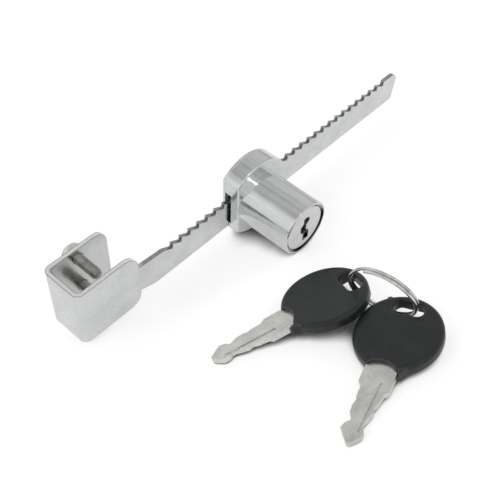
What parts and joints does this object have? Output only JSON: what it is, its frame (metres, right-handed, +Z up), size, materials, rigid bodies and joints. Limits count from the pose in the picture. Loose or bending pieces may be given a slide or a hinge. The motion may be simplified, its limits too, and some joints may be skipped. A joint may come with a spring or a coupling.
{
  "type": "sliding glass showcase lock",
  "caption": "Showcase lock: a toothed hook bar clamps on a sliding glass door's edge, and a keyed barrel locks on its teeth; with keys on a split ring.",
  "frame": {"origin": "middle of the web's inner face, where the edge of the glass sits in the hook", "axes": "+X along the toothed bar to its free end; +Z up from the table in the resting pose of the picture; the lock itself leans forward about X by 12.4 degrees, keyhole towards -Y and down"},
  "size_m": [0.145, 0.0986, 0.0272],
  "materials": {
    "strip_plating": "satin nickel plating",
    "clamp_steel": "zinc plated",
    "housing_plating": "bright chrome plating",
    "cover_plating": "satin nickel plating",
    "screw_steel": "zinc plated",
    "plug_plating": "satin nickel plating",
    "spring_steel": "drawn wire",
    "pawl_steel": "stamped",
    "wafer_brass": "stamped",
    "key_steel": "nickel plated",
    "bow_plastic": "moulded, fine grain",
    "ring_steel": "bright nickel plating"
  },
  "bodies": {
    "bar": {"ratchet_bar": "strip_plating"},
    "upper_clamp": {"clamp_screw_upper": "clamp_steel"},
    "lower_clamp": {"clamp_screw_lower": "clamp_steel"},
    "head": {"lock_housing": "housing_plating", "rear_cover": "cover_plating", "cover_screws": "screw_steel", "pawl_spring": "spring_steel"},
    "turning_plug": {"plug": "plug_plating", "retaining_clip": "spring_steel", "wafer_spring_1": "spring_steel", "wafer_spring_2": "spring_steel", "wafer_spring_3": "spring_steel", "wafer_spring_4": "spring_steel", "wafer_spring_5": "spring_steel"},
    "sliding_pawl": {"pawl": "pawl_steel"},
    "ring": {"key_ring": "ring_steel"},
    "left_key": {"left_key_blade": "key_steel", "left_key_bow": "bow_plastic"},
    "right_key": {"right_key_blade": "key_steel", "right_key_bow": "bow_plastic"},
    "wafer_1_body": {"wafer_1": "wafer_brass"},
    "wafer_2_body": {"wafer_2": "wafer_brass"},
    "wafer_3_body": {"wafer_3": "wafer_brass"},
    "wafer_4_body": {"wafer_4": "wafer_brass"},
    "wafer_5_body": {"wafer_5": "wafer_brass"}
  },
  "joints": [
    {"name": "head_slide", "type": "slide", "parent": "bar", "child": "head", "axis": [1, 0, 0], "range_m": [-0.02555, 0.0876]},
    {"name": "plug_turn", "type": "hinge", "parent": "head", "child": "turning_plug", "pos_m": [0.06646, -0.00763, 0.00023], "axis": [0, 0.9766, 0.2151], "range_deg": [0, 180]},
    {"name": "pawl_lift", "type": "slide", "parent": "head", "child": "sliding_pawl", "axis": [0, -0.2151, 0.9766], "range_m": [-0.0018, 0], "deforming": ["pawl_spring"]},
    {"name": "upper_clamp_travel", "type": "slide", "parent": "bar", "child": "upper_clamp", "axis": [0, 0.9766, 0.2151], "range_m": [0, 0.008]},
    {"name": "lower_clamp_travel", "type": "slide", "parent": "bar", "child": "lower_clamp", "axis": [0, 0.9766, 0.2151], "range_m": [0, 0.008]},
    {"name": "wafer_1_slide", "type": "slide", "parent": "turning_plug", "child": "wafer_1_body", "axis": [0, -0.2151, 0.9766], "range_m": [0, 0.0008]},
    {"name": "wafer_2_slide", "type": "slide", "parent": "turning_plug", "child": "wafer_2_body", "axis": [0, 0.2151, -0.9766], "range_m": [0, 0.0008]},
    {"name": "wafer_3_slide", "type": "slide", "parent": "turning_plug", "child": "wafer_3_body", "axis": [0, -0.2151, 0.9766], "range_m": [0, 0.0008]},
    {"name": "wafer_4_slide", "type": "slide", "parent": "turning_plug", "child": "wafer_4_body", "axis": [0, 0.2151, -0.9766], "range_m": [0, 0.0008]},
    {"name": "wafer_5_slide", "type": "slide", "parent": "turning_plug", "child": "wafer_5_body", "axis": [0, -0.2151, 0.9766], "range_m": [0, 0.0008]},
    {"name": "ring_lift", "type": "slide", "parent": "bar", "child": "ring", "axis": [0, 0, 1], "range_m": [0, 0.03]},
    {"name": "left_key_swing", "type": "hinge", "parent": "ring", "child": "left_key", "pos_m": [0.0562, -0.0574, -0.0074], "axis": [0, 0, 1], "range_deg": [-12, 0]},
    {"name": "right_key_swing", "type": "hinge", "parent": "ring", "child": "right_key", "pos_m": [0.059, -0.0734, -0.0094], "axis": [0, 0, 1], "range_deg": [0, 5]}
  ],
  "couplings": [
    {"joint": "pawl_lift", "follows": "plug_turn", "m_per_rad": -0.00057296}
  ]
}
